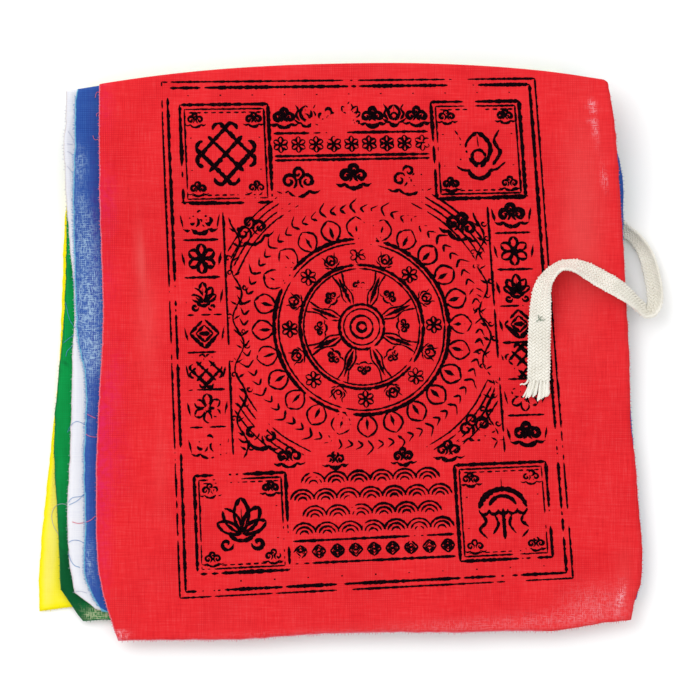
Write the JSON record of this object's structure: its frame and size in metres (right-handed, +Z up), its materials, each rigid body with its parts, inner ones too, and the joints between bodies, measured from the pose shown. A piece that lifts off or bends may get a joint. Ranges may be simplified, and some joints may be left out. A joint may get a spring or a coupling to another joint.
{
  "type": "tibetan prayer flag string",
  "caption": "Short string of thin cotton prayer flags folded back and forth into a flat stack, each headed over a flat braided tape whose loose tail lies over the top flag.",
  "frame": {"origin": "on the surface that the stack lies on, under the centre of the folded flags, the tape's loose tail not counted", "axes": "+X along the headings to the side where the tail comes out, +Y across the flags to their top fold, +Z up from the surface"},
  "size_m": [0.2723, 0.2536, 0.0215],
  "materials": {
    "cotton_yellow": "thin plain weave cotton, matt",
    "cotton_green": "thin plain weave cotton, matt",
    "cotton_white": "thin plain weave cotton, matt",
    "cotton_blue": "thin plain weave cotton, matt",
    "cotton_red": "thin plain weave cotton with a black block print, matt",
    "cotton_tape": "flat herringbone braid of natural cotton, matt"
  },
  "bodies": {
    "root": {"flag_yellow": "cotton_yellow", "flag_green": "cotton_green", "flag_white": "cotton_white", "flag_blue": "cotton_blue", "flag_red": "cotton_red", "tape_run": "cotton_tape", "tape_tail": "cotton_tape"}
  },
  "joints": []
}
